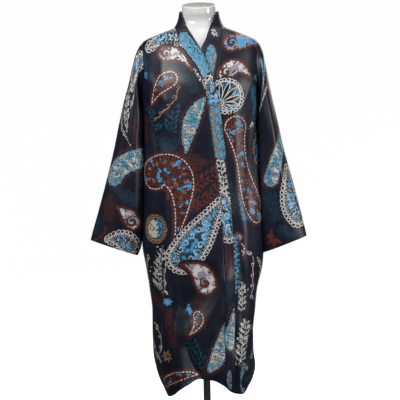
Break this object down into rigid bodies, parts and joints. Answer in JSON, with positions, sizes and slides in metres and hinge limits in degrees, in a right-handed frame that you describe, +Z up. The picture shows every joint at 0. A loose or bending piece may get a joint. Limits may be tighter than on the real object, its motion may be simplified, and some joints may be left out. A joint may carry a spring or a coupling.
{
  "type": "kimono coat on a dress form with a pole and base",
  "caption": "Long satin kimono coat with wide sleeves and a crossed front band, worn by a limbless dress form on a pole with a round base.",
  "frame": {"origin": "centre of the base's underside, on the floor below the middle of the dress form", "axes": "+Z up, the front of the coat looks towards -Y, the wearer's left is +X"},
  "size_m": [0.6786, 0.32, 1.5115],
  "materials": {
    "satin": "satin weave, printed with paisleys on dark navy",
    "form_shell": "white, glossy",
    "stand_steel": "fine brushed"
  },
  "bodies": {
    "root": {"coat_right_front": "satin", "coat_left_front": "satin", "coat_back": "satin", "coat_right_sleeve": "satin", "coat_left_sleeve": "satin", "coat_right_band": "satin", "coat_left_band": "satin", "form_torso": "form_shell", "form_flange": "stand_steel", "form_pole": "stand_steel", "form_hub": "stand_steel", "form_base": "stand_steel"}
  },
  "joints": []
}
